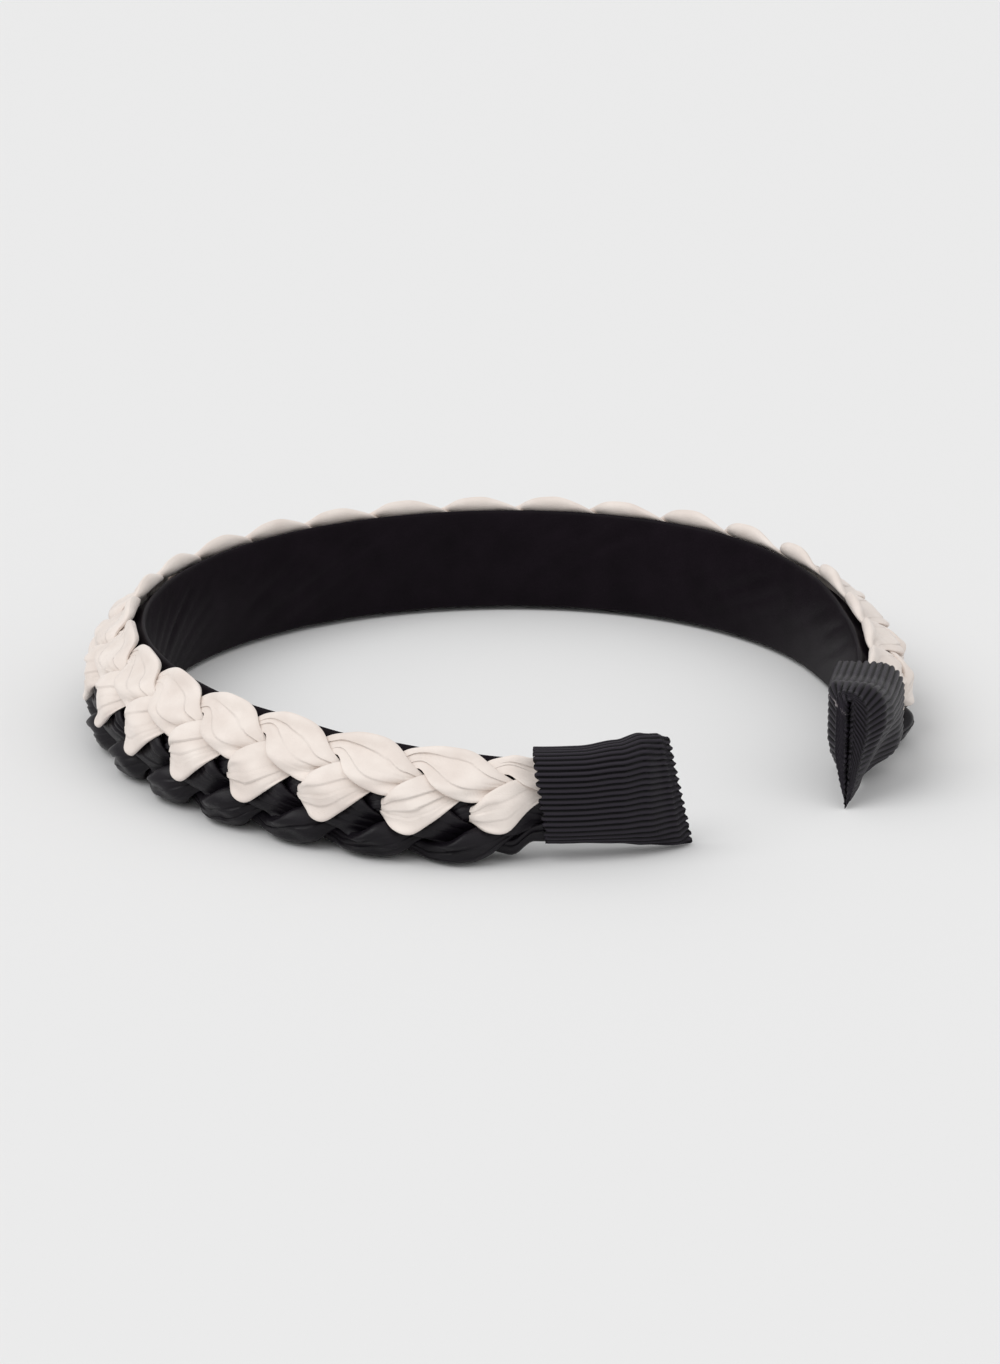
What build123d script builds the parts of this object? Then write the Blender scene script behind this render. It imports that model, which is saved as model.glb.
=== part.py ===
from build123d import *
import math
import os

# Braided headband, lying on its lower edge. Millimetres, +Z up, the crown at +Y, the opening at -Y.
# A covered hoop carries two flat three-strand plaits side by side on its outer face.
# A ribbon tube is pulled over each end and pinched flat beyond it.

# Driving sizes
HEAD_WIDTH = 129.5
BAND_WIDTH = 24.0
HOOP_THICKNESS = 2.6
CREAM_THICKNESS = 2.4
BLACK_THICKNESS = 1.95
PLAIT_PERIOD = 42.0
RIBBON_LENGTH = 25.0
RIBBON_WALL = 1.0
RIBBON_END_HEIGHT = 20.5
RIBBON_END_MIDDLE = 11.2
RIBBON_CORNER = 2.0
# The pinched ends' places through the tube, as shares of its depth from the inner face.
NEAR_SEAM = 0.15
FAR_SEAM = 0.45
ROUND_SHARE = 0.46
RIBBON_STATIONS = 12
LEAST_HOLLOW = 0.8
CORNER_STEPS = 3
CLEARANCE = 0.32
RIBBON_CLEARANCE = 0.65
BLACK_LAG_ROWS = 2
OPENING_TURN = -46.1

# The hoop's inner face in plan, from the near end to the far end, as arcs that turn the same way.
# Radii are shares of HEAD_WIDTH.
PLAN_START_HEADING = 195.7
PLAN_ARCS = [
    {"place": "near end", "radius": 0.727, "turn": 8.6},
    {"place": "near side", "radius": 0.569, "turn": 64.1},
    {"place": "crown", "radius": 0.518, "turn": 125.9},
    {"place": "far side", "radius": 0.456, "turn": 67.5},
    {"place": "far end", "radius": 0.870, "turn": 39.2},
]

# How the band narrows towards each end. Distance from the end is in ribbon lengths,
# width and middle height are shares of BAND_WIDTH, thickness a share of the full strand thickness.
END_TAPER = [
    {"distance": 0.0, "width": 0.62, "middle": 0.455, "thickness": 0.42},
    {"distance": 1.2, "width": 0.64, "middle": 0.45, "thickness": 0.42},
    {"distance": 1.55, "width": 0.82, "middle": 0.42, "thickness": 0.90},
    {"distance": 2.1, "width": 0.89, "middle": 0.445, "thickness": 1.00},
    {"distance": 3.0, "width": 0.96, "middle": 0.48, "thickness": 1.00},
    {"distance": 4.5, "width": 1.00, "middle": 0.50, "thickness": 1.00},
]

# The covered hoop's lower and upper edges, as shares of the local band width.
HOOP_LOW = 0.04
HOOP_HIGH = 0.875
HOOP_END_INSET = 0.22
HOOP_STATION_STEP = 6.5
STRAND_END_INSET = 0.5

# One strand's path through a plait, in equal steps of a period towards the near end.
# Low and high edges are shares of BAND_WIDTH, thickness a share of the strand's thickness.
# Rows 1 to 4 are the upper lobe and rows 8 to 11 the lower one, counted from 0.
CREAM_PATH = [
    {"low": 0.800, "high": 0.955, "thickness": 0.75},
    {"low": 0.720, "high": 1.000, "thickness": 0.95},
    {"low": 0.630, "high": 1.000, "thickness": 1.00},
    {"low": 0.585, "high": 0.960, "thickness": 1.00},
    {"low": 0.600, "high": 0.860, "thickness": 0.90},
    {"low": 0.620, "high": 0.755, "thickness": 0.55},
    {"low": 0.500, "high": 0.660, "thickness": 0.35},
    {"low": 0.420, "high": 0.560, "thickness": 0.40},
    {"low": 0.385, "high": 0.500, "thickness": 0.75},
    {"low": 0.280, "high": 0.650, "thickness": 1.00},
    {"low": 0.270, "high": 0.725, "thickness": 1.00},
    {"low": 0.410, "high": 0.745, "thickness": 0.95},
    {"low": 0.540, "high": 0.750, "thickness": 0.60},
    {"low": 0.650, "high": 0.800, "thickness": 0.40},
    {"low": 0.745, "high": 0.900, "thickness": 0.55},
]
BLACK_PATH = [
    {"low": 0.380, "high": 0.600, "thickness": 0.60},
    {"low": 0.345, "high": 0.610, "thickness": 0.85},
    {"low": 0.270, "high": 0.610, "thickness": 1.00},
    {"low": 0.215, "high": 0.580, "thickness": 1.00},
    {"low": 0.190, "high": 0.490, "thickness": 0.85},
    {"low": 0.170, "high": 0.350, "thickness": 0.45},
    {"low": 0.113, "high": 0.233, "thickness": 0.40},
    {"low": 0.050, "high": 0.171, "thickness": 0.50},
    {"low": 0.004, "high": 0.163, "thickness": 0.90},
    {"low": 0.000, "high": 0.200, "thickness": 1.00},
    {"low": 0.004, "high": 0.308, "thickness": 1.00},
    {"low": 0.067, "high": 0.335, "thickness": 0.95},
    {"low": 0.185, "high": 0.335, "thickness": 0.60},
    {"low": 0.262, "high": 0.390, "thickness": 0.40},
    {"low": 0.330, "high": 0.530, "thickness": 0.45},
]

# A strand's cross-section: places across its width, from -1 to 1, and the thickness share there.
ACROSS = [-1.0, -0.45, 0.45, 1.0]
FULLNESS = [0.0, 1.0, 1.0, 0.0]
EDGE_LIFT = 0.3
SETTLING_PASSES = 30
SPAN_SHARES = [0.0, 0.125, 0.25, 0.375, 0.5, 0.625, 0.75, 0.875, 1.0]
# In these rows a strand lies over the strand a third of a period ahead, in the others under it.
OVER_AHEAD = [1, 2, 3, 8, 9, 10]

# The ribbon tube by distance from its open edge, in ribbon lengths. Height is a share of the way from
# the fitted height to the pinched end's height, depth a share of the fitted depth beyond the pinched one,
# and centred how far the tube has moved from the hoop's inner face to the place of its pinched end.
RIBBON_SHAPE = [
    {"along": 0.0, "height": 0.0, "depth": 1.00, "centred": 0.0},
    {"along": 0.3, "height": 0.0, "depth": 1.00, "centred": 0.0},
    {"along": 0.55, "height": 0.2, "depth": 0.97, "centred": 0.0},
    {"along": 0.82, "height": 0.6, "depth": 0.50, "centred": 0.0},
    {"along": 1.0, "height": 1.0, "depth": 0.0, "centred": 1.0},
]


def smooth_step(share):
    return share * share * (3.0 - 2.0 * share)


def read_table(rows, key, value):
    """Smooth values between the rows of a table, held past its first and last row."""
    names = [name for name in rows[0] if name != key]
    if value <= rows[0][key]:
        return {name: rows[0][name] for name in names}
    for lower, upper in zip(rows[:-1], rows[1:]):
        if value <= upper[key]:
            share = smooth_step((value - lower[key]) / (upper[key] - lower[key]))
            return {name: lower[name] + share * (upper[name] - lower[name]) for name in names}
    return {name: rows[-1][name] for name in names}


# Plan curve

def plan_length():
    return sum(HEAD_WIDTH * arc["radius"] * math.radians(arc["turn"]) for arc in PLAN_ARCS)


LENGTH = plan_length()


def plan_point(distance):
    """Place and outward direction of the hoop's inner face, at a distance from the near end."""
    heading = math.radians(PLAN_START_HEADING + OPENING_TURN)
    x = 0.0
    y = 0.0
    left = distance
    for number, arc in enumerate(PLAN_ARCS):
        radius = HEAD_WIDTH * arc["radius"]
        length = radius * math.radians(arc["turn"])
        run = left if number == len(PLAN_ARCS) - 1 else min(left, length)
        turn = run / radius
        chord = 2.0 * radius * math.sin(turn / 2.0)
        x += chord * math.cos(heading - turn / 2.0)
        y += chord * math.sin(heading - turn / 2.0)
        heading -= turn
        left -= run
        if left <= 0.0:
            break
    return Vector(x, y, 0.0), Vector(-math.sin(heading), math.cos(heading), 0.0)


def band_point(distance, outward, height):
    foot, normal = plan_point(distance)
    return foot + normal * outward + Vector(0.0, 0.0, height)


def section_plane(distance):
    """A plane across the band: its x axis points outward, its y axis up."""
    foot, normal = plan_point(distance)
    return Plane(origin=foot, x_dir=normal, z_dir=normal.cross(Vector(0.0, 0.0, 1.0)))


def taper(distance):
    from_end = min(distance, LENGTH - distance) / RIBBON_LENGTH
    row = read_table(END_TAPER, "distance", from_end)
    width = BAND_WIDTH * row["width"]
    return {"width": width, "low": BAND_WIDTH * row["middle"] - width / 2.0, "thickness": row["thickness"]}


# Covered hoop

def hoop_section(distance):
    local = taper(distance)
    low = local["low"] + HOOP_LOW * local["width"]
    high = local["low"] + HOOP_HIGH * local["width"]
    shape = RectangleRounded(HOOP_THICKNESS, high - low, ROUND_SHARE * HOOP_THICKNESS)
    middle = Location((HOOP_THICKNESS / 2.0, (low + high) / 2.0))
    return section_plane(distance) * middle * shape


def make_hoop():
    start = HOOP_END_INSET * RIBBON_LENGTH
    run = LENGTH - 2.0 * start
    count = round(run / HOOP_STATION_STEP)
    return loft([hoop_section(start + run * i / count) for i in range(count + 1)])


# Plait strands

PLAITS = {
    "black": {"path": BLACK_PATH, "thickness": BLACK_THICKNESS, "lag": BLACK_LAG_ROWS},
    "cream": {"path": CREAM_PATH, "thickness": CREAM_THICKNESS, "lag": 0},
}


def stacking_order(rows):
    """Strand numbers of one plait from the lowest to the highest at a station."""
    ranks = [0, 0, 0]
    for number in range(3):
        ahead = (number + 1) % 3
        ranks[number if rows[number] in OVER_AHEAD else ahead] += 1
    return sorted(range(3), key=lambda number: ranks[number])


def station_layers(station, distance):
    """The six strands at one station from the lowest to the highest, with their places up the band."""
    local = taper(distance)
    layers = {}
    for colour, plait in PLAITS.items():
        count = len(plait["path"])
        rows = [(plait["lag"] - station + i * count // 3) % count for i in range(3)]
        for number in stacking_order(rows):
            row = plait["path"][rows[number]]
            low = local["low"] + row["low"] * local["width"]
            high = local["low"] + row["high"] * local["width"]
            full = plait["thickness"] * row["thickness"] * local["thickness"]
            layers[colour, number] = {
                "places": [(low + high) / 2.0 + share * (high - low) / 2.0 for share in ACROSS],
                "inner": [CLEARANCE + (EDGE_LIFT if share == 0.0 else 0.0) for share in FULLNESS],
                "rise": [full * share for share in FULLNESS],
            }
    return layers


def outer_line(layer):
    return [(place, inner + rise) for place, inner, rise in zip(layer["places"], layer["inner"], layer["rise"])]


def inner_line(layer):
    return list(zip(layer["places"], layer["inner"]))


def skin_cut(first, second, share, turned):
    """A cut through the faceted skin part of the way between two stations, with the nodes behind each point."""
    pairs = []
    for node in range(len(first) - 1):
        pairs.append((node, node))
        pairs.append((node + 1, node) if turned else (node, node + 1))
    pairs.append((len(first) - 1, len(first) - 1))
    points = []
    for here, there in pairs:
        place = (1.0 - share) * first[here][0] + share * second[there][0]
        reach = (1.0 - share) * first[here][1] + share * second[there][1]
        points.append((place, reach, here, there))
    return points


def reach_at(points, place):
    """The reach of a cut at a place, with the two points round it and how far it lies between them."""
    piece = 0
    while piece < len(points) - 2 and points[piece + 1][0] < place:
        piece += 1
    before = points[piece]
    after = points[piece + 1]
    run = after[0] - before[0]
    across = min(max((place - before[0]) / run, 0.0), 1.0) if run > 0.0 else 0.0
    return before[1] + across * (after[1] - before[1]), before, after, across


def lift_clear(over, under, share):
    """Raise one strand between two stations until it clears a strand below it, part of the way along."""
    under_cut = skin_cut(outer_line(under[0]), outer_line(under[1]), share, True)
    over_cut = skin_cut(inner_line(over[0]), inner_line(over[1]), share, False)
    low = max(over_cut[0][0], under_cut[0][0])
    high = min(over_cut[-1][0], under_cut[-1][0])
    if low >= high:
        return 0.0
    most = 0.0
    for place in [low, high] + [point[0] for point in over_cut + under_cut if low < point[0] < high]:
        over_cut = skin_cut(inner_line(over[0]), inner_line(over[1]), share, False)
        inner, before, after, across = reach_at(over_cut, place)
        short = reach_at(under_cut, place)[0] + CLEARANCE - inner
        if short <= 0.0:
            continue
        most = max(most, short)
        weights = {}
        for point, part in ((before, 1.0 - across), (after, across)):
            for end, node, weight in ((0, point[2], 1.0 - share), (1, point[3], share)):
                weights[end, node] = weights.get((end, node), 0.0) + part * weight
        total = sum(weight * weight for weight in weights.values())
        for (end, node), weight in weights.items():
            over[end]["inner"][node] += short * weight / total
    return most


def drape_strands(stations):
    """Raise strands, from the hoop outward, until each clears all those below it."""
    for settling in range(SETTLING_PASSES):
        most = 0.0
        for here, there in zip(stations[:-1], stations[1:]):
            for share in SPAN_SHARES:
                order = list(here if share < 0.5 else there)
                for i, name in enumerate(order):
                    for other in order[:i]:
                        over = (here[name], there[name])
                        under = (here[other], there[other])
                        most = max(most, lift_clear(over, under, share))
        if most < CLEARANCE / 10.0:
            break


def strand_section(layer):
    return inner_line(layer) + outer_line(layer)[-2:0:-1]


def closed_solid(triangles):
    """A solid from the corners of its triangles, with its faces turned outward."""
    for order in (1, -1):
        faces = [Face(Wire.make_polygon(corners[::order], close=True)) for corners in triangles]
        solid = Solid(Shell(faces))
        if solid.volume > 0.0:
            break
    return solid


def tube_of_rings(rings):
    """A closed faceted solid through rings of points, with flat fans at both ends."""
    count = len(rings[0])
    triangles = []
    for first, second in zip(rings[:-1], rings[1:]):
        for i in range(count):
            j = (i + 1) % count
            triangles.append([first[i], first[j], second[j]])
            triangles.append([first[i], second[j], second[i]])
    for ring in (rings[0][::-1], rings[-1]):
        middle = sum(ring, Vector(0.0, 0.0, 0.0)) * (1.0 / count)
        for i in range(count):
            triangles.append([ring[i], ring[(i + 1) % count], middle])
    return closed_solid(triangles)


def lay_strands():
    """Distances of the stations along the band and the settled strands at each."""
    start = STRAND_END_INSET * RIBBON_LENGTH
    run = LENGTH - 2.0 * start
    count = round(run / (PLAIT_PERIOD / len(CREAM_PATH)))
    distances = [start + run * i / count for i in range(count + 1)]
    stations = [station_layers(i, distance) for i, distance in enumerate(distances)]
    drape_strands(stations)
    return distances, stations


def make_strands(distances, stations):
    rings = {}
    for distance, layers in zip(distances, stations):
        for name, layer in layers.items():
            section = strand_section(layer)
            points = [band_point(distance, HOOP_THICKNESS + reach, place) for place, reach in section]
            rings.setdefault(name, []).append(points)
    return {f"{colour}_strand_{number + 1}": tube_of_rings(ring)
            for (colour, number), ring in rings.items()}


# Ribbon ends

def reach_in_ribbon(distances, stations):
    """How far the plaits stand out from the hoop inside a ribbon, up to the first station beyond it."""
    step = PLAIT_PERIOD / len(CREAM_PATH)
    best = 0.0
    for distance, layers in zip(distances, stations):
        if min(distance, LENGTH - distance) < RIBBON_LENGTH + step:
            best = max(best, max(reach for layer in layers.values() for place, reach in outer_line(layer)))
    return best


def rounded_ring(distance, inner_face, depth, middle, height, corner):
    """Points round a rectangle with rounded corners that stands across the band."""
    ring = []
    quarters = [(1.0, 1.0, 0.0), (-1.0, 1.0, 90.0), (-1.0, -1.0, 180.0), (1.0, -1.0, 270.0)]
    for side, level, first in quarters:
        for step in range(CORNER_STEPS + 1):
            angle = math.radians(first + 90.0 * step / CORNER_STEPS)
            outward = inner_face + depth / 2.0 + side * (depth / 2.0 - corner) + corner * math.cos(angle)
            up = middle + level * (height / 2.0 - corner) + corner * math.sin(angle)
            ring.append(band_point(distance, outward, up))
    return ring


def ribbon_rings(far_end, reach, inset):
    """Rings of the ribbon tube's outer face, or of its hollow where inset is the wall."""
    mouth = taper(RIBBON_LENGTH)
    fitted_middle = mouth["low"] + mouth["width"] / 2.0
    fitted_height = mouth["width"] + 2.0 * RIBBON_CLEARANCE + 2.0 * RIBBON_WALL
    fitted_depth = HOOP_THICKNESS + reach + 2.0 * RIBBON_CLEARANCE + 2.0 * RIBBON_WALL
    pinched_depth = 2.0 * RIBBON_WALL
    seam_share = FAR_SEAM if far_end else NEAR_SEAM
    rings = []
    for station in range(RIBBON_STATIONS + 1):
        along = station / RIBBON_STATIONS
        row = read_table(RIBBON_SHAPE, "along", along)
        distance = RIBBON_LENGTH * (1.0 - along)
        height = fitted_height + row["height"] * (RIBBON_END_HEIGHT - fitted_height) - 2.0 * inset
        depth = pinched_depth + row["depth"] * (fitted_depth - pinched_depth) - 2.0 * inset
        if depth < LEAST_HOLLOW:
            continue
        centring = row["centred"] * seam_share * (fitted_depth - pinched_depth)
        inner_face = centring - RIBBON_CLEARANCE - RIBBON_WALL + inset
        middle = fitted_middle + row["height"] * (RIBBON_END_MIDDLE - fitted_middle)
        corner = min(RIBBON_CORNER - inset, ROUND_SHARE * depth)
        place = LENGTH - distance if far_end else distance
        rings.append(rounded_ring(place, inner_face, depth, middle, height, corner))
    return rings


def make_ribbon(far_end, reach):
    """A tube that is open at the mouth: its outer face from the pinched end, then its hollow back in."""
    outer = ribbon_rings(far_end, reach, 0.0)
    hollow = ribbon_rings(far_end, reach, RIBBON_WALL)
    return tube_of_rings(outer[::-1] + hollow)


def build_parts():
    distances, stations = lay_strands()
    reach = reach_in_ribbon(distances, stations)
    parts = {"lining_band": make_hoop()}
    parts.update(make_strands(distances, stations))
    parts["ribbon_end_left"] = make_ribbon(False, reach)
    parts["ribbon_end_right"] = make_ribbon(True, reach)
    return parts


def main():
    os.makedirs("parts", exist_ok=True)
    parts = build_parts()
    box = Compound(list(parts.values())).bounding_box()
    shift = Location((-box.center().X, -box.center().Y, -box.min.Z))
    for name, shape in parts.items():
        export_step(shift * shape, f"parts/{name}.step")
        print(name, round(shape.volume), "mm3")
    print("plan length", round(LENGTH, 1), "shift", shift.position, "size", box.size)


main()
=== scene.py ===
import bpy
import math
import numpy as np
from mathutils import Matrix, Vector


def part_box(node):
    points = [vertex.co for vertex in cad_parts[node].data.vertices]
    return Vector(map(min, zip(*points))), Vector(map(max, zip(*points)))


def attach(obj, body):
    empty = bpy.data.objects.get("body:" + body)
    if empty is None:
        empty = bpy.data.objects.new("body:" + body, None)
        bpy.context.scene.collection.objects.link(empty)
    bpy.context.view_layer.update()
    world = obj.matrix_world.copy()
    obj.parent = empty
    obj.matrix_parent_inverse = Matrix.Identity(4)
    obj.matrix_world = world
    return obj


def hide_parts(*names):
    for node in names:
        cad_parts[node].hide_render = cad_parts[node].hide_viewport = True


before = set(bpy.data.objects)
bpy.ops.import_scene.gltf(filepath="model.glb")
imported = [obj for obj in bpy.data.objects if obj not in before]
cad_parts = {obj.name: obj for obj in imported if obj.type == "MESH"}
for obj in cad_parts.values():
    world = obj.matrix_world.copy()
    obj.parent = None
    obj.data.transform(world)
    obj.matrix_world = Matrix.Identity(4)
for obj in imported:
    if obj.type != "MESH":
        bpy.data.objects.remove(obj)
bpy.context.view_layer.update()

# Lengths in millimetres and turns in degrees. The plan curve, the band's full width and the hoop's
# thickness are as in the solids. The taper near the ends and the plaits' paths differ a little.
MM = 0.001
HEAD_WIDTH = 129.5
BAND_WIDTH = 24.0
HOOP_THICKNESS = 2.6
PLAIT_PERIOD = 42.0
RIBBON_LENGTH = 25.0
OPENING_TURN = -46.1
PLAN_START_HEADING = 195.7

# Radius as a share of the head width, and turn
PLAN_ARCS = [(0.727, 8.6), (0.569, 64.1), (0.518, 125.9), (0.456, 67.5), (0.870, 39.2)]

# Shares of the local band width and of the ribbon's length
HOOP_LOW = 0.04
HOOP_HIGH = 0.875
HOOP_END_INSET = 0.22
STRAND_END_INSET = 0.5

# The plaits are fuller than the solids, and padding fills the space behind them.
# PAD_ACROSS: where it starts, is full, starts to fall and ends, up the local band width.
PAD_DEPTH = 4.3
PAD_ACROSS = [-0.06, 0.07, 0.70, 0.88]
CREAM_THICKNESS = 2.4
BLACK_THICKNESS = 4.2
CREAM_LAG_ROWS = 1.0
BLACK_LAG_ROWS = 3.0
CREAM_SPREAD = 0.018
BLACK_SPREAD = 0.016

# Distance from the end in ribbon lengths, width share, middle share, thickness share
END_TAPER = np.array([
    [0.0, 0.62, 0.455, 0.32],
    [1.0, 0.64, 0.45, 0.33],
    [1.16, 0.80, 0.425, 0.72],
    [1.5, 0.85, 0.425, 0.95],
    [2.1, 0.89, 0.445, 1.00],
    [3.0, 0.96, 0.48, 1.00],
    [4.5, 1.00, 0.50, 1.00],
])

# One strand's path through a plait: low edge, high edge and thickness shares, in equal steps of a period
CREAM_PATH = np.array([
    [0.800, 0.910, 0.75], [0.720, 0.945, 0.95], [0.630, 0.945, 1.00], [0.585, 0.920, 1.00],
    [0.600, 0.840, 0.90], [0.620, 0.750, 0.55], [0.500, 0.650, 0.35], [0.420, 0.560, 0.35],
    [0.395, 0.500, 0.65], [0.325, 0.650, 0.95], [0.315, 0.725, 1.00], [0.420, 0.745, 0.90],
    [0.540, 0.740, 0.60], [0.650, 0.780, 0.40], [0.745, 0.860, 0.55],
])
BLACK_PATH = np.array([
    [0.380, 0.600, 0.40], [0.345, 0.610, 0.55], [0.270, 0.610, 0.65], [0.215, 0.580, 0.65],
    [0.190, 0.490, 0.55], [0.170, 0.350, 0.30], [0.113, 0.233, 0.27], [0.050, 0.171, 0.35],
    [0.004, 0.180, 0.75], [0.000, 0.230, 1.00], [0.004, 0.320, 1.00], [0.067, 0.335, 0.85],
    [0.185, 0.335, 0.42], [0.262, 0.390, 0.27], [0.330, 0.530, 0.30],
])

# A strand's place in the plait, as rows of its path
OVER_ROWS = [(0.5, 3.5), (7.5, 10.5)]
TUCKED_ROWS = (5.4, 8.0)

# The two plaits, the lower one first. A rank is a strand's place in the pile at a station.
PLAITS = {
    "black": {"path": BLACK_PATH, "thickness": BLACK_THICKNESS, "lag": BLACK_LAG_ROWS,
              "spread": BLACK_SPREAD, "seed": 11, "rank": 0},
    "cream": {"path": CREAM_PATH, "thickness": CREAM_THICKNESS, "lag": CREAM_LAG_ROWS,
              "spread": CREAM_SPREAD, "seed": 21, "rank": 3},
}

# A strand's mesh and its section: shares of its thickness at its edges and at its top
STATION_STEP = 0.55
ACROSS_POINTS = 57
UNDER_POINTS = 11
DOME_POWER = 2.8
EDGE_SHARE = 0.48
TOP_SHARE = 1.05
EDGE_WANDER = 0.006

# Pleats: depth and number, how far the drop and the softer side reach, and a slow swell between them
PLEAT_DEPTH = 0.42
PLEAT_COUNT = 3
PLEAT_SPAN = 1.2
PLEAT_SCATTER = 0.10
PLEAT_WANDER = 0.07
PLEAT_DROP_REACH = 0.7
PLEAT_SOFT_REACH = 0.35
PLEAT_SOFT_SHARE = 0.22
SWELL = 0.07
FULL_PLEAT_RISE = 1.8

# Settling the strands on each other
SETTLING_PASSES = 7
SOFTENING_ACROSS = 8
SOFTENING_ALONG = 7
CLOTH_GAP = 0.12

# The covered hoop's mesh, the roundness of its edges, and the wrinkles' slant, pitches and depths
HOOP_STEP = 0.7
HOOP_AROUND = 84
HOOP_SIDE_POWER = 0.55
HOOP_FACE_TURN = 0.92
HOOP_FACE_SHARE = 0.955
WRINKLE_SLANT = 1.8
WRINKLE_DRIFT = 1.6
WRINKLE_SHARPNESS = 0.7
WRINKLES = [(7.3, 0.09), (9.1, 0.10), (12.7, 0.10)]

# Distance from the open edge in ribbon lengths, top and bottom edges as shares of BAND_WIDTH,
# and how far the near and the far tube are still open
RIBBON_FORM = np.array([
    [0.00, 0.796, 0.112, 1.00, 1.00],
    [0.30, 0.798, 0.110, 1.00, 1.00],
    [0.55, 0.830, 0.090, 0.93, 0.94],
    [0.72, 0.878, 0.055, 0.76, 0.82],
    [0.90, 0.868, 0.022, 0.36, 0.42],
    [1.00, 0.840, 0.014, 0.00, 0.00],
])

# What differs between the two tubes: the seam's distance out from the lining, how much wider each
# stands inward and outward, the slant of its pinched end, its rib pitch and the phase of its sway
RIBBONS = {
    "ribbon_end_left": {"far": False, "seam": 1.0, "inner_puff": 0.0, "outer_puff": 0.5,
                        "end_slant": 2.2, "pitch": 1.04, "phase": 1.0},
    "ribbon_end_right": {"far": True, "seam": 3.5, "inner_puff": 2.5, "outer_puff": 2.2,
                         "end_slant": 0.5, "pitch": 1.28, "phase": 2.5},
}
RIBBON_GAP = 0.1
RIBBON_WALL = 0.45
RIBBON_STEPS = 60
RIBBON_AROUND = 540
PINCHED_DEPTH = 0.95
LEAST_DEPTH = 0.15
OUTER_CORNER = 4.6
INNER_CORNER = 1.3
CORNERED_SHARE = 0.93
MOUTH_SLANT = 1.1
MOUTH_RUN = 0.35
END_START = 0.65
RIB_DEPTH = 0.42
RIB_MIDDLE = 0.6
RIB_ROUNDNESS = 0.66
SCALLOP = 0.8
SCALLOP_PITCH = 1.6
SCALLOP_RUN = 0.03
SWAY = 0.15
SWAY_TURNS = 1.2
SLOPE_STEP = 0.02

# The far tube is leaf-shaped from the end: shares of its height over which its outer and its inner
# side run in towards the lower tip, the least width there, and where along the tube this begins
LEAF_OUTER = 0.62
LEAF_INNER = 0.45
LEAF_LEAST = 0.1
LEAF_START = 0.2
LEAF_RUN = 0.4

# A pale, slightly raised line on the far ribbon's inner face near its pinched end: distances from the
# pinched end and heights, half width and rise
CUT_EDGE_PLACES = [0.0, 1.5, 4.0, 6.0]
CUT_EDGE_HEIGHTS = [17.3, 18.2, 18.6, 18.7]
CUT_EDGE_RUN = 6.5
CUT_EDGE_HALF = 0.22
CUT_EDGE_RISE = 0.2
CUT_EDGE_FACING = -0.5

# Colour shares along the rib's height, which the ribbon's material reads: painted shade in the grooves
# between the ribs, the ribs' own colour on their ridges, and the pale line near the far tube's end
RIDGE_TONE = 0.8
GROOVE_SHADE_TONE = 0.4
CUT_EDGE_TONE = 0.95

# The photograph's camera: where it looks and stands, from the near end of the plan curve
AIM = np.array([42.934, 83.879, 0.0])
EYE = np.array([-561.626, -497.951, 278.2])
PHOTO_HEIGHT_PIXELS = 1364.0
FOCAL_LENGTH_PIXELS = 4599.0
SENSOR_HEIGHT = 36.0

# Name, direction, strength and apparent size of each light
SUNS = [
    ("key_sun", (0.75, -0.25, -1.0), 1.11, 45.0),
    ("front_sun", (0.15, 0.9, -1.0), 0.35, 60.0),
]
SKY_STRENGTH = 0.68
FLOOR_WIDTH_METRES = 24.0
FLOOR_GREY = 0.80


def smooth_step(share):
    share = np.clip(share, 0.0, 1.0)
    return share * share * (3.0 - 2.0 * share)


def read_rows(rows, value):
    """Smooth values between the rows of a table at many places at once."""
    value = np.atleast_1d(np.asarray(value, dtype=float))
    place = np.clip(np.searchsorted(rows[:, 0], value) - 1, 0, len(rows) - 2)
    low = rows[place]
    high = rows[place + 1]
    share = smooth_step((value - low[:, 0]) / (high[:, 0] - low[:, 0]))
    return low[:, 1:] + share[:, None] * (high[:, 1:] - low[:, 1:])


LENGTH = sum(HEAD_WIDTH * radius * math.radians(turn) for radius, turn in PLAN_ARCS)


def plan_curve(distance):
    """Feet and outward directions of the hoop's inner face, before it is centred."""
    distance = np.asarray(distance, dtype=float)
    heading = math.radians(PLAN_START_HEADING + OPENING_TURN)
    x = 0.0
    y = 0.0
    begin = 0.0
    feet = np.zeros(distance.shape + (2,))
    facing = np.zeros(distance.shape + (2,))
    for number, (share, turn) in enumerate(PLAN_ARCS):
        radius = HEAD_WIDTH * share
        run = radius * math.radians(turn)
        last = number == len(PLAN_ARCS) - 1
        here = (distance >= begin) if last else (distance >= begin) & (distance < begin + run)
        if number == 0:
            here = here | (distance < begin)
        turned = (distance - begin) / radius
        chord = 2.0 * radius * np.sin(turned / 2.0)
        feet[..., 0] = np.where(here, x + chord * np.cos(heading - turned / 2.0), feet[..., 0])
        feet[..., 1] = np.where(here, y + chord * np.sin(heading - turned / 2.0), feet[..., 1])
        facing[..., 0] = np.where(here, -np.sin(heading - turned), facing[..., 0])
        facing[..., 1] = np.where(here, np.cos(heading - turned), facing[..., 1])
        whole = math.radians(turn)
        x += 2.0 * radius * math.sin(whole / 2.0) * math.cos(heading - whole / 2.0)
        y += 2.0 * radius * math.sin(whole / 2.0) * math.sin(heading - whole / 2.0)
        heading -= whole
        begin += run
    return feet, facing


def hoop_shift():
    """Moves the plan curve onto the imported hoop."""
    run = np.linspace(HOOP_END_INSET * RIBBON_LENGTH, LENGTH - HOOP_END_INSET * RIBBON_LENGTH, 2000)
    feet, facing = plan_curve(run)
    both = np.concatenate([feet, feet + facing * HOOP_THICKNESS])
    low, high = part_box("lining_band")
    middle = np.array([(low[0] + high[0]) / 2.0, (low[1] + high[1]) / 2.0]) / MM
    return middle - (both.min(axis=0) + both.max(axis=0)) / 2.0


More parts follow.
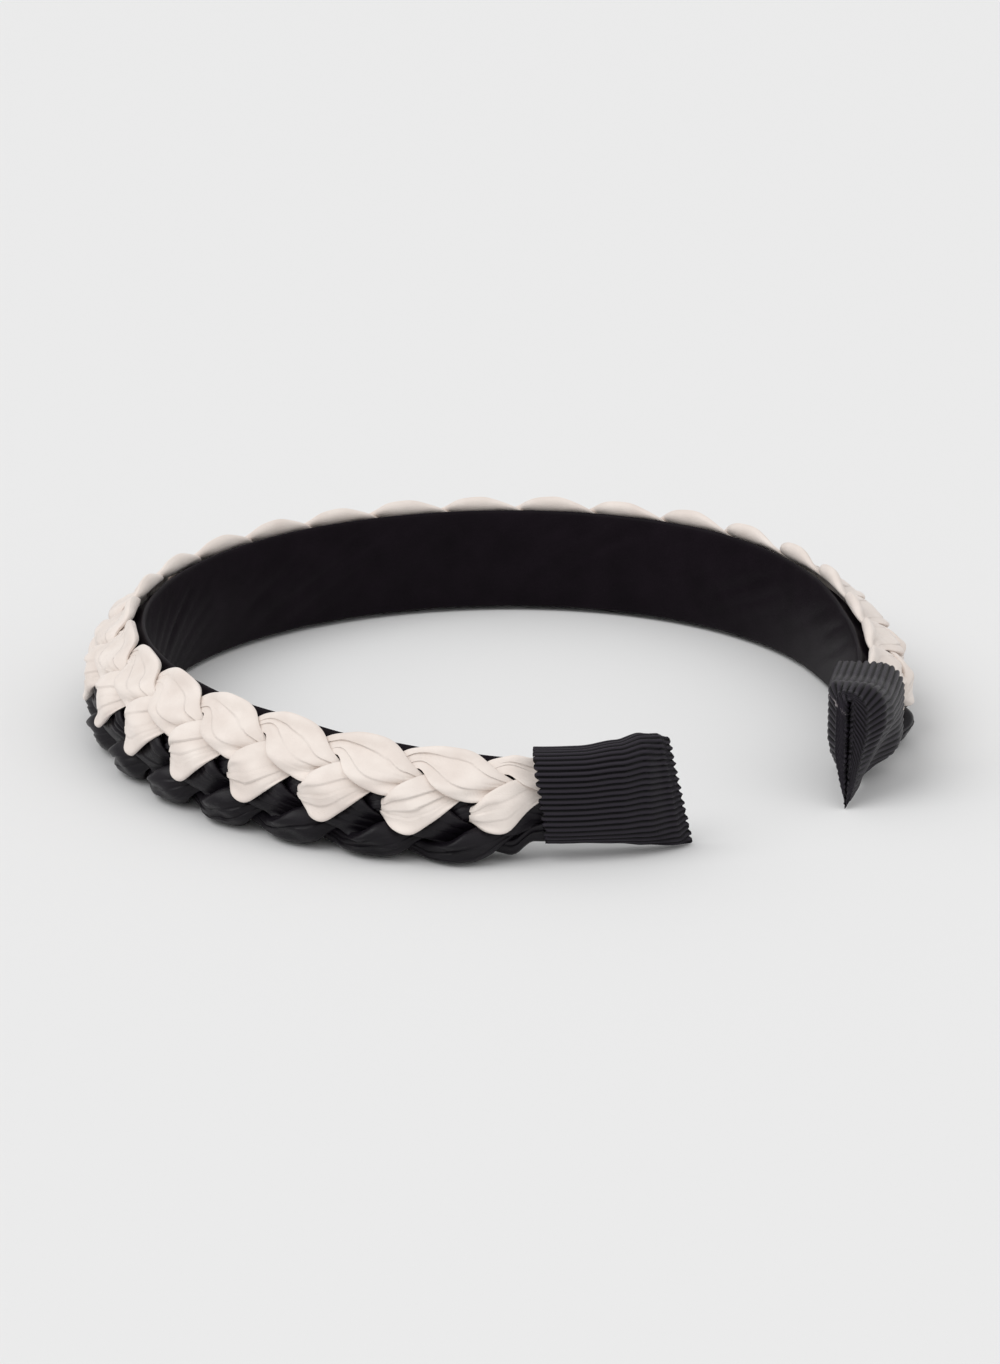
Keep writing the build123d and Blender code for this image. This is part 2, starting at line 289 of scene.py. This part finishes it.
SHIFT = hoop_shift()


def band_points(distance, outward, height):
    """Points on the band, in millimetres in the row frame."""
    distance, outward, height = np.broadcast_arrays(distance, outward, height)
    feet, facing = plan_curve(distance)
    flat = feet + facing * outward[..., None] + SHIFT
    return np.concatenate([flat, height[..., None]], axis=-1)


def taper(distance):
    """The band's local width, its lower edge and the share of full thickness."""
    from_end = np.minimum(distance, LENGTH - distance) / RIBBON_LENGTH
    rows = read_rows(END_TAPER, from_end)
    width = BAND_WIDTH * rows[:, 0]
    return width, BAND_WIDTH * rows[:, 1] - width / 2.0, rows[:, 2]


def around_path(path, row):
    """Smooth values round a closed table at fractional rows."""
    count = len(path)
    base = np.floor(row).astype(int)
    share = (row - base)[:, None]
    before, here, there, beyond = (path[(base + step) % count] for step in (-1, 0, 1, 2))
    return 0.5 * (2.0 * here + (there - before) * share
                  + (2.0 * before - 5.0 * here + 4.0 * there - beyond) * share ** 2
                  + (3.0 * here - before - 3.0 * there + beyond) * share ** 3)


def slow_waves(place, seed, shortest, longest, count):
    """A smooth wandering value between about -1 and 1."""
    rng = np.random.default_rng(seed)
    lengths = rng.uniform(shortest, longest, count)
    phases = rng.uniform(0.0, 2.0 * math.pi, count)
    total = np.zeros_like(place, dtype=float)
    for length, phase in zip(lengths, phases):
        total += np.sin(2.0 * math.pi * place / length + phase)
    return total / math.sqrt(count)


def soften(values, axis, passes):
    """A small running average along one axis, with held ends."""
    for step in range(passes):
        first = np.take(values, [0], axis=axis)
        last = np.take(values, [-1], axis=axis)
        padded = np.concatenate([first, values, last], axis=axis)
        count = values.shape[axis]
        before = np.take(padded, range(0, count), axis=axis)
        here = np.take(padded, range(1, count + 1), axis=axis)
        after = np.take(padded, range(2, count + 2), axis=axis)
        values = (before + 2.0 * here + after) / 4.0
    return values


# Mesh helpers

def skin(name, points, material):
    """A tube of quads round rings of points given in millimetres."""
    stations, around = points.shape[:2]
    station = np.arange(stations - 1)[:, None]
    ring = np.arange(around)[None, :]
    beyond = (ring + 1) % around
    quads = np.stack([station * around + ring, station * around + beyond,
                      (station + 1) * around + beyond, (station + 1) * around + ring], axis=-1)
    quads = quads.reshape(-1, 4)
    faces = [tuple(quad) for quad in quads.tolist()]
    faces.append(tuple(range(around))[::-1])
    faces.append(tuple(range((stations - 1) * around, stations * around)))
    mesh = bpy.data.meshes.new(name)
    mesh.from_pydata((points.reshape(-1, 3) * MM).tolist(), [], faces)
    mesh.validate()
    mesh.update()
    if signed_volume(points, quads) < 0.0:
        mesh.flip_normals()
    mesh.polygons.foreach_set("use_smooth", [True] * len(mesh.polygons))
    piece = bpy.data.objects.new(name, mesh)
    bpy.context.scene.collection.objects.link(piece)
    mesh.materials.append(material)
    return piece


def signed_volume(points, quads):
    """The volume inside the quads, below zero where they face inward."""
    verts = points.reshape(-1, 3)
    a, b, c, d = (verts[quads[:, corner]] for corner in range(4))
    first = np.einsum("ij,ij->i", a, np.cross(b, c)).sum()
    second = np.einsum("ij,ij->i", a, np.cross(c, d)).sum()
    return (first + second) / 6.0


def add_lengthwise_map(piece, along, across):
    """A map whose axes are millimetres along and across the cloth, for the weave."""
    mesh = piece.data
    layer = mesh.uv_layers.new(name="cloth")
    corner_verts = np.zeros(len(mesh.loops), dtype=np.int32)
    mesh.loops.foreach_get("vertex_index", corner_verts)
    values = np.stack([along.reshape(-1), across.reshape(-1)], axis=-1)[corner_verts]
    layer.data.foreach_set("uv", values.astype(np.float32).reshape(-1))


# Materials

def new_material(name):
    """A material with its nodes, its links and its shader."""
    material = bpy.data.materials.new(name)
    material.use_nodes = True
    nodes = material.node_tree.nodes
    return material, nodes, material.node_tree.links, nodes["Principled BSDF"]


def satin(name, deep, pale, roughness, sheen, gloss, weave_depth):
    """Soft satin with a fine weave along the cloth and a little tone variation."""
    material, nodes, links, shader = new_material(name)
    shader.inputs["Roughness"].default_value = roughness
    shader.inputs["Sheen Weight"].default_value = sheen
    shader.inputs["Sheen Roughness"].default_value = 0.45
    shader.inputs["Specular IOR Level"].default_value = gloss
    cloth = nodes.new("ShaderNodeUVMap")
    cloth.uv_map = "cloth"
    place = nodes.new("ShaderNodeTexCoord")
    tone = nodes.new("ShaderNodeTexNoise")
    tone.inputs["Scale"].default_value = 160.0
    tone.inputs["Detail"].default_value = 4.0
    links.new(place.outputs["Object"], tone.inputs["Vector"])
    ramp = nodes.new("ShaderNodeValToRGB")
    ramp.color_ramp.elements[0].position = 0.3
    ramp.color_ramp.elements[0].color = (*deep, 1.0)
    ramp.color_ramp.elements[1].position = 0.7
    ramp.color_ramp.elements[1].color = (*pale, 1.0)
    links.new(tone.outputs["Fac"], ramp.inputs["Fac"])
    links.new(ramp.outputs["Color"], shader.inputs["Base Color"])
    stretch = nodes.new("ShaderNodeMapping")
    stretch.inputs["Scale"].default_value = (0.6, 9.0, 1.0)
    links.new(cloth.outputs["UV"], stretch.inputs["Vector"])
    threads = nodes.new("ShaderNodeTexNoise")
    threads.inputs["Scale"].default_value = 1.0
    threads.inputs["Detail"].default_value = 3.0
    links.new(stretch.outputs["Vector"], threads.inputs["Vector"])
    grain = nodes.new("ShaderNodeTexNoise")
    grain.inputs["Scale"].default_value = 2600.0
    grain.inputs["Detail"].default_value = 2.0
    links.new(place.outputs["Object"], grain.inputs["Vector"])
    mix = nodes.new("ShaderNodeMath")
    mix.operation = "ADD"
    links.new(threads.outputs["Fac"], mix.inputs[0])
    links.new(grain.outputs["Fac"], mix.inputs[1])
    bump = nodes.new("ShaderNodeBump")
    bump.inputs["Strength"].default_value = 0.5
    bump.inputs["Distance"].default_value = weave_depth
    links.new(mix.outputs["Value"], bump.inputs["Height"])
    links.new(bump.outputs["Normal"], shader.inputs["Normal"])
    return material


def grosgrain(name, groove_shade, ridge, cut_edge):
    """Ribbed ribbon: painted shade between the ribs, which are in the mesh, and pale along a thin raised
    line near the far tube's end.
    """
    material, nodes, links, shader = new_material(name)
    shader.inputs["Roughness"].default_value = 0.42
    shader.inputs["Specular IOR Level"].default_value = 0.16
    rib = nodes.new("ShaderNodeAttribute")
    rib.attribute_name = "rib"
    # The rib tone sets the colour: painted shade towards the grooves between the ribs
    ramp = nodes.new("ShaderNodeValToRGB")
    ramp.color_ramp.elements[0].position = GROOVE_SHADE_TONE
    ramp.color_ramp.elements[0].color = (*groove_shade, 1.0)
    ramp.color_ramp.elements[1].position = RIDGE_TONE
    ramp.color_ramp.elements[1].color = (*ridge, 1.0)
    ramp.color_ramp.elements.new(CUT_EDGE_TONE).color = (*cut_edge, 1.0)
    links.new(rib.outputs["Fac"], ramp.inputs["Fac"])
    links.new(ramp.outputs["Color"], shader.inputs["Base Color"])
    cloth = nodes.new("ShaderNodeUVMap")
    cloth.uv_map = "cloth"
    threads = nodes.new("ShaderNodeTexWave")
    threads.wave_type = "BANDS"
    threads.bands_direction = "X"
    threads.inputs["Scale"].default_value = 1.3
    threads.inputs["Distortion"].default_value = 2.5
    threads.inputs["Detail"].default_value = 2.0
    threads.inputs["Detail Scale"].default_value = 2.0
    links.new(cloth.outputs["UV"], threads.inputs["Vector"])
    bump = nodes.new("ShaderNodeBump")
    bump.inputs["Strength"].default_value = 0.3
    bump.inputs["Distance"].default_value = 0.00004
    links.new(threads.outputs["Fac"], bump.inputs["Height"])
    links.new(bump.outputs["Normal"], shader.inputs["Normal"])
    return material


cream_cloth = satin("cream_satin_cloth", (0.74, 0.655, 0.60), (0.84, 0.765, 0.71),
                    roughness=0.50, sheen=0.20, gloss=0.22, weave_depth=0.00008)
black_cloth = satin("black_satin_cloth", (0.004, 0.003, 0.005), (0.008, 0.006, 0.009),
                    roughness=0.40, sheen=0.0, gloss=0.22, weave_depth=0.00008)
lining_cloth = satin("lining_satin_cloth", (0.004, 0.002, 0.004), (0.007, 0.004, 0.007),
                     roughness=0.50, sheen=0.0, gloss=0.08, weave_depth=0.00006)
ribbon_cloth = grosgrain("ribbon_grosgrain_cloth", groove_shade=(0.0008, 0.0006, 0.001),
                         ridge=(0.024, 0.020, 0.028), cut_edge=(0.42, 0.38, 0.38))
CLOTH_OF = {"cream": cream_cloth, "black": black_cloth}

# Plait strands

STRAND_START = STRAND_END_INSET * RIBBON_LENGTH
STRAND_RUN = LENGTH - 2.0 * STRAND_START
ROW_COUNT = len(CREAM_PATH)
ROW_STEP = STRAND_RUN / round(STRAND_RUN / (PLAIT_PERIOD / ROW_COUNT))
STATIONS = STRAND_START + np.linspace(0.0, STRAND_RUN, int(STRAND_RUN / STATION_STEP) + 1)
WIDTH, LOW, FULLNESS = taper(STATIONS)
ACROSS = np.sin(np.linspace(-1.0, 1.0, ACROSS_POINTS) * math.pi / 2.0)
DOME = np.sqrt(np.clip(1.0 - np.abs(ACROSS) ** DOME_POWER, 0.0, 1.0))


def pleats(seed, width, lift):
    """Knife pleats along the strand: each line drops sharply on one side and recovers softly."""
    rng = np.random.default_rng(seed)
    relief = np.zeros((len(STATIONS), len(ACROSS)))
    for fold in range(PLEAT_COUNT):
        middle = PLEAT_SPAN * ((fold + 0.5) / PLEAT_COUNT - 0.5) + rng.uniform(-PLEAT_SCATTER, PLEAT_SCATTER)
        side = 1.0 if rng.uniform() < 0.6 else -1.0
        wander = middle + PLEAT_WANDER * slow_waves(STATIONS, seed * 31 + fold, 24.0, 60.0, 3)
        strength = 0.65 + 0.5 * slow_waves(STATIONS, seed * 57 + fold, 12.0, 40.0, 3)
        strength = np.clip(strength, 0.0, 1.3)
        gap = side * (ACROSS[None, :] - wander[:, None]) * width[:, None] / 2.0
        soft_side = PLEAT_SOFT_SHARE * np.exp(gap / PLEAT_SOFT_REACH)
        drop = np.where(gap > 0.0, -np.exp(-gap / PLEAT_DROP_REACH), soft_side)
        relief += PLEAT_DEPTH * strength[:, None] * drop
    swell = SWELL * slow_waves(STATIONS, seed * 91, 9.0, 24.0, 3)
    return (relief + swell[:, None] * np.sin(2.2 * ACROSS)[None, :]) * lift


def padding(places, low, width, full):
    """How far the hoop's padding stands out behind the plaits."""
    share = (places - low[:, None]) / width[:, None]
    rising = smooth_step((share - PAD_ACROSS[0]) / (PAD_ACROSS[1] - PAD_ACROSS[0]))
    falling = smooth_step((PAD_ACROSS[3] - share) / (PAD_ACROSS[3] - PAD_ACROSS[2]))
    return PAD_DEPTH * full[:, None] * np.minimum(rising, falling)


def new_strand(colour, number):
    """A strand on the padding: its places up the band, and its rise over its base at each."""
    plait = PLAITS[colour]
    row = (plait["lag"] - (STATIONS - STRAND_START) / ROW_STEP + number * ROW_COUNT / 3.0) % ROW_COUNT
    low, high, full = around_path(plait["path"], row).T
    seed = plait["seed"] + number
    edge = EDGE_WANDER * slow_waves(STATIONS, seed * 5, 12.0, 40.0, 3)
    low = LOW + np.maximum(low - plait["spread"] + edge, 0.0) * WIDTH
    high = LOW + np.minimum(high + plait["spread"] - edge, 1.0) * WIDTH
    full = plait["thickness"] * full * FULLNESS
    places = (low + high)[:, None] / 2.0 + ACROSS[None, :] * (high - low)[:, None] / 2.0
    lift = DOME[None, :] * np.clip(full[:, None] / FULL_PLEAT_RISE, 0.2, 1.0)
    rise = full[:, None] * (EDGE_SHARE + (TOP_SHARE - EDGE_SHARE) * DOME[None, :])
    return {
        "name": f"{colour}_strand_{number + 1}", "colour": colour, "row": row, "places": places,
        "full": full, "rise": rise + pleats(seed, high - low, lift),
        "base": padding(places, LOW, WIDTH, FULLNESS) + CLOTH_GAP,
    }


def stays_over(row):
    """True where a strand lies over the one a third of a period ahead."""
    (first, second), (third, fourth) = OVER_ROWS
    return ((row >= first) & (row < second)) | ((row >= third) & (row < fourth))


def rank_strands(strands, colour):
    """Gives the strands of one plait their ranks at every station, the lowest first."""
    plait = [strand for strand in strands if strand["colour"] == colour]
    for strand in plait:
        strand["rank"] = np.full(len(STATIONS), PLAITS[colour]["rank"])
    for number, strand in enumerate(plait):
        over = stays_over(strand["row"])
        strand["rank"] += over
        plait[(number + 1) % len(plait)]["rank"] += ~over


def tuck_cream(strands):
    """Where a cream strand turns back at the middle of the band it lies under everything."""
    for strand in strands:
        if strand["colour"] == "cream":
            tucked = (strand["row"] > TUCKED_ROWS[0]) & (strand["row"] < TUCKED_ROWS[1])
            strand["rank"] = np.where(tucked, -1, strand["rank"])


def raise_over(base, strand, other):
    """Raises a strand's base to clear another one at the stations where that lies below it."""
    outer = other["base"] + other["rise"]
    for station in np.nonzero(other["rank"] < strand["rank"])[0]:
        spots = strand["places"][station]
        line = other["places"][station]
        if spots[-1] > line[0] and spots[0] < line[-1]:
            reach = np.interp(spots, line, outer[station], left=0.0, right=0.0)
            base[station] = np.maximum(base[station], reach + CLOTH_GAP)


def settle(strands):
    """Lays the strands on the padding and over each other. They still cut a little into each other."""
    for settling in range(SETTLING_PASSES):
        for strand in strands:
            base = padding(strand["places"], LOW, WIDTH, FULLNESS) + CLOTH_GAP
            for other in strands:
                if other is not strand:
                    raise_over(base, strand, other)
            base = soften(base, 1, SOFTENING_ACROSS)
            strand["base"] = soften(base, 0, SOFTENING_ALONG)


def show_strand(strand):
    """A closed skin over the strand's outer face and back under it."""
    places = strand["places"]
    under_share = np.linspace(1.0, -1.0, UNDER_POINTS + 2)[1:-1]
    half = (places[:, -1:] - places[:, :1]) / 2.0
    under_places = (places[:, -1:] + places[:, :1]) / 2.0 + under_share[None, :] * half
    under = np.stack([np.interp(under_share, ACROSS, line) for line in strand["base"]])
    hollow = 1.0 - np.sqrt(1.0 - np.abs(under_share) ** DOME_POWER)
    under = under + EDGE_SHARE * strand["full"][:, None] * hollow[None, :]
    places = np.concatenate([places, under_places], axis=1)
    reach = np.concatenate([strand["base"] + strand["rise"], under], axis=1) + HOOP_THICKNESS
    points = band_points(STATIONS[:, None], reach, places)
    piece = skin(strand["name"] + "_cloth", points, CLOTH_OF[strand["colour"]])
    add_lengthwise_map(piece, np.repeat(STATIONS[:, None], places.shape[1], axis=1), places)
    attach(piece, "root")
    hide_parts(strand["name"])


strands = [new_strand(colour, number) for colour in PLAITS for number in range(3)]
for colour in PLAITS:
    rank_strands(strands, colour)
tuck_cream(strands)
settle(strands)
for strand in strands:
    show_strand(strand)

# Covered hoop with its lining


def hoop_levels(turn):
    """Heights round the hoop's section from -1 to 1: evenly up its faces, bunched at its edges."""
    level = np.arcsin(np.clip(np.sin(turn), -1.0, 1.0)) / (math.pi / 2.0)
    past_face = (np.abs(level) - HOOP_FACE_TURN) / (1.0 - HOOP_FACE_TURN)
    rounded = HOOP_FACE_SHARE + (1.0 - HOOP_FACE_SHARE) * np.sin(past_face * math.pi / 2.0)
    flat = level / HOOP_FACE_TURN * HOOP_FACE_SHARE
    return np.where(np.abs(level) < HOOP_FACE_TURN, flat, np.sign(level) * rounded)


def lining_wrinkles(run, height):
    """Soft wrinkles that slant up along the lining."""
    place = run[:, None] - WRINKLE_SLANT * (height - BAND_WIDTH / 2.0)
    relief = np.zeros_like(height)
    for number, (pitch, size) in enumerate(WRINKLES):
        drift = WRINKLE_DRIFT * slow_waves(run, 400 + number, 30.0, 90.0, 3)
        strength = 0.5 + 0.6 * slow_waves(run + 7.0 * number, 500 + number, 20.0, 60.0, 3)
        strength = np.clip(strength, 0.0, 1.2)
        line = np.abs(np.sin(math.pi * (place + drift[:, None]) / pitch)) ** WRINKLE_SHARPNESS
        relief += size * strength[:, None] * (1.0 - 2.0 * line)
    return relief


def covered_hoop():
    inset = HOOP_END_INSET * RIBBON_LENGTH
    run = np.arange(inset, LENGTH - inset, HOOP_STEP)
    width, floor_height, full = taper(run)
    low = floor_height + HOOP_LOW * width
    high = floor_height + HOOP_HIGH * width
    turn = np.linspace(0.0, 2.0 * math.pi, HOOP_AROUND, endpoint=False)
    side = np.sign(np.cos(turn)) * np.abs(np.cos(turn)) ** HOOP_SIDE_POWER
    height = (low + high)[:, None] / 2.0 + hoop_levels(turn)[None, :] * (high - low)[:, None] / 2.0
    pad = padding(height, floor_height, width, full) * np.clip(side, 0.0, 1.0)[None, :]
    wrinkles = lining_wrinkles(run, height) * np.clip(-side, 0.0, 1.0)[None, :]
    outward = (HOOP_THICKNESS / 2.0 * (1.0 + side))[None, :] + pad + wrinkles
    lining = skin("lining_band_cloth", band_points(run[:, None], outward, height), lining_cloth)
    add_lengthwise_map(lining, np.repeat(run[:, None], HOOP_AROUND, axis=1) + height, height)
    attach(lining, "root")
    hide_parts("lining_band")


covered_hoop()

# Ribbon ends


def rounded_loop(depth, height, count):
    """Evenly spaced points and face directions round a section, and the share walked to each."""
    outer_corner = min(OUTER_CORNER, 0.7 * depth)
    inner_corner = min(INNER_CORNER, 0.28 * depth)
    radii = [outer_corner, inner_corner, inner_corner, outer_corner]
    sides = [depth - outer_corner - inner_corner, height - 2.0 * inner_corner,
             depth - outer_corner - inner_corner, height - 2.0 * outer_corner]
    total = sum(sides) + math.pi * (outer_corner + inner_corner)
    walk = np.linspace(0.0, total, count, endpoint=False)
    x, z, face_x, face_z = (np.zeros(count) for value in range(4))
    begin = 0.0
    quarters = [(1, 1, 0.0), (-1, 1, 90.0), (-1, -1, 180.0), (1, -1, 270.0)]
    for (side, level, first), corner, straight in zip(quarters, radii, sides):
        arc = math.pi * corner / 2.0
        middle_x = side * (depth / 2.0 - corner)
        middle_z = level * (height / 2.0 - corner)
        bend = (walk >= begin) & (walk < begin + arc)
        angle = np.where(bend, math.radians(first) + (walk - begin) / corner, math.radians(first + 90.0))
        beyond = np.where(bend, 0.0, walk - begin - arc)
        here = (walk >= begin) & (walk < begin + arc + straight)
        face_x = np.where(here, np.cos(angle), face_x)
        face_z = np.where(here, np.sin(angle), face_z)
        x = np.where(here, middle_x + corner * np.cos(angle) - beyond * np.sin(angle), x)
        z = np.where(here, middle_z + corner * np.sin(angle) + beyond * np.cos(angle), z)
        begin += arc + straight
    return x, z, face_x, face_z, (walk + sides[3] / 2.0) / total


def measure_ribbon(ribbon):
    """Adds the open tube's inner and outer face and its number of ribs."""
    from_end = LENGTH - STATIONS if ribbon["far"] else STATIONS
    inside = from_end < RIBBON_LENGTH + 0.5
    reach = max(float((strand["base"] + strand["rise"])[inside].max()) for strand in strands)
    cover = RIBBON_GAP + RIBBON_WALL
    ribbon["face_in"] = -cover - ribbon["inner_puff"]
    ribbon["face_out"] = HOOP_THICKNESS + reach + cover + ribbon["outer_puff"]
    height = BAND_WIDTH * (RIBBON_FORM[0, 1] - RIBBON_FORM[0, 2])
    around = 2.0 * (height + ribbon["face_out"] - ribbon["face_in"]) * CORNERED_SHARE
    ribbon["ribs"] = round(around / ribbon["pitch"])


def leaf_shape(outward, level, share, seam):
    """Draws the section in to the seam towards its lower tip."""
    outer_side = np.clip((level + 0.5) / LEAF_OUTER, LEAF_LEAST, 1.0)
    inner_side = np.sqrt(np.clip((level + 0.5) / LEAF_INNER, LEAF_LEAST, 1.0))
    narrowing = 1.0 - np.where(outward > seam, outer_side, inner_side)
    return seam + (outward - seam) * (1.0 - narrowing * smooth_step((share - LEAF_START) / LEAF_RUN))


def ribbon_section(ribbon, share, inset):
    """Places out and up, face directions, share walked and level round the tube at a share of its length."""
    top, bottom, near, far = read_rows(RIBBON_FORM, share)[0]
    spread = far if ribbon["far"] else near
    seam = ribbon["seam"]
    half = PINCHED_DEPTH / 2.0
    inner = seam - half + (ribbon["face_in"] + half - seam) * spread + inset
    outer = seam + half + (ribbon["face_out"] - half - seam) * spread - inset
    height = BAND_WIDTH * (top - bottom) - 2.0 * inset
    x, z, face_x, face_z, walked = rounded_loop(max(outer - inner, LEAST_DEPTH), height, RIBBON_AROUND)
    outward = (inner + outer) / 2.0 + x
    level = z / height
    if ribbon["far"]:
        outward = leaf_shape(outward, level, share, seam)
    return outward, BAND_WIDTH * (top + bottom) / 2.0 + z, face_x, face_z, walked, level


def cut_edge(up, face_x, from_edge):
    """Near 1 along the cut edge on the tube's inner face, and 0 elsewhere."""
    away = up - np.interp(from_edge, CUT_EDGE_PLACES, CUT_EDGE_HEIGHTS)
    return np.exp(-(away / CUT_EDGE_HALF) ** 2) * (face_x < CUT_EDGE_FACING) * (from_edge < CUT_EDGE_RUN)


def ribbon_ring(ribbon, share, inset, pull):
    """Points round the tube at a share of its length, moved in from its face and back from its end."""
    outward, up, face_x, face_z, walked, level = ribbon_section(ribbon, share, inset)
    first = max(share - SLOPE_STEP, 0.0)
    last = min(share + SLOPE_STEP, 1.0)
    before = ribbon_section(ribbon, first, inset)
    beyond = ribbon_section(ribbon, last, inset)
    change = face_x * (before[0] - beyond[0]) + face_z * (before[1] - beyond[1])
    slope = change / (RIBBON_LENGTH * (last - first))
    wave = np.abs(np.sin(math.pi * walked * ribbon["ribs"])) ** RIB_ROUNDNESS
    from_edge = RIBBON_LENGTH * (1.0 - share)
    cut = cut_edge(up, face_x, from_edge) * ribbon["far"]
    relief = (RIB_DEPTH * (wave - RIB_MIDDLE) + CUT_EDGE_RISE * cut) * (1.0 - smooth_step(pull / 0.6))
    relief = relief / np.sqrt(1.0 + slope ** 2)
    mouth = 1.0 - smooth_step(share / MOUTH_RUN)
    end = smooth_step((share - END_START) / (1.0 - END_START))
    distance = from_edge + pull - slope * relief
    distance += MOUTH_SLANT * (2.0 * level - 1.0) * mouth + ribbon["end_slant"] * 2.0 * level * end
    at_mouth = np.maximum(1.0 - share / SCALLOP_RUN, 0.0)
    at_end = np.maximum(1.0 - (1.0 - share) / SCALLOP_RUN, 0.0)
    scallops = round(ribbon["ribs"] * ribbon["pitch"] / SCALLOP_PITCH)
    scallop = np.abs(np.sin(math.pi * walked * scallops))
    distance += SCALLOP * (scallop - RIB_MIDDLE) * (at_mouth - at_end)
    sway = SWAY * math.sin(2.0 * math.pi * share * SWAY_TURNS + ribbon["phase"])
    place = LENGTH - distance if ribbon["far"] else distance
    points = band_points(place, outward + face_x * relief + sway, up + face_z * relief)
    spots = np.stack([distance, walked * ribbon["ribs"] * ribbon["pitch"]], axis=-1)
    # Tone for the colour: painted shade towards the grooves between the ribs, pale along the line near the
    # far tube's end
    return points, spots, np.maximum(RIDGE_TONE * wave, cut)


def ribbon_end(name):
    """A tube with a wall: from its pinched end to its mouth outside, and back inside."""
    ribbon = RIBBONS[name]
    measure_ribbon(ribbon)
    even = np.linspace(0.0, 1.0, RIBBON_STEPS + 1)
    shares = smooth_step(even) * 0.3 + even * 0.7
    closing = [(1.0, 0.40, 1.8), (1.0, 0.36, 0.3), (1.0, 0.18, 0.0)]
    outside = [(share, 0.0, 0.0) for share in shares[::-1]]
    inside = [(share, RIBBON_WALL, 0.0) for share in shares[:-4]]
    rings = [ribbon_ring(ribbon, *where) for where in closing + outside + inside]
    points, spots, tones = (np.stack(values) for values in zip(*rings))
    piece = skin(name + "_cloth", points, ribbon_cloth)
    add_lengthwise_map(piece, spots[..., 0], spots[..., 1])
    # The rib tone, which the material turns into painted shade in the grooves
    rib = piece.data.attributes.new("rib", "FLOAT", "POINT")
    rib.data.foreach_set("value", tones.astype(np.float32).reshape(-1))
    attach(piece, "root")
    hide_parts(name)


for name in RIBBONS:
    ribbon_end(name)

# Floor, light and camera


def studio_floor():
    bpy.ops.mesh.primitive_plane_add(size=FLOOR_WIDTH_METRES, location=(0.0, 0.0, 0.0))
    floor = bpy.context.active_object
    floor.name = "studio_floor"
    paint, nodes, links, shader = new_material("studio_floor_paint")
    shader.inputs["Base Color"].default_value = (FLOOR_GREY, FLOOR_GREY, FLOOR_GREY, 1.0)
    shader.inputs["Roughness"].default_value = 0.9
    shader.inputs["Specular IOR Level"].default_value = 0.1
    floor.data.materials.append(paint)


def sky():
    """Even white light from all round."""
    world = bpy.context.scene.world or bpy.data.worlds.new("studio_world")
    bpy.context.scene.world = world
    world.use_nodes = True
    background = world.node_tree.nodes["Background"]
    background.inputs["Color"].default_value = (1.0, 1.0, 1.0, 1.0)
    background.inputs["Strength"].default_value = SKY_STRENGTH


def sun(name, direction, strength, angle):
    """A wide soft light from one direction."""
    data = bpy.data.lights.new(name, "SUN")
    data.energy = strength
    data.angle = math.radians(angle)
    lamp = bpy.data.objects.new(name, data)
    bpy.context.scene.collection.objects.link(lamp)
    lamp.rotation_euler = Vector(direction).to_track_quat("-Z", "Y").to_euler()


def photo_camera():
    shift = np.append(SHIFT, 0.0)
    aim = Vector(((AIM + shift) * MM).tolist())
    eye = Vector(((EYE + shift) * MM).tolist())
    data = bpy.data.cameras.new("photo_camera")
    data.sensor_fit = "VERTICAL"
    data.sensor_height = SENSOR_HEIGHT
    data.lens = FOCAL_LENGTH_PIXELS / PHOTO_HEIGHT_PIXELS * SENSOR_HEIGHT
    data.clip_start = 0.01
    data.clip_end = 60.0
    camera = bpy.data.objects.new("photo_camera", data)
    bpy.context.scene.collection.objects.link(camera)
    camera.location = eye
    camera.rotation_euler = (aim - eye).to_track_quat("-Z", "Y").to_euler()
    bpy.context.scene.camera = camera


studio_floor()
sky()
for values in SUNS:
    sun(*values)
photo_camera()
bpy.context.scene.view_settings.view_transform = "Standard"
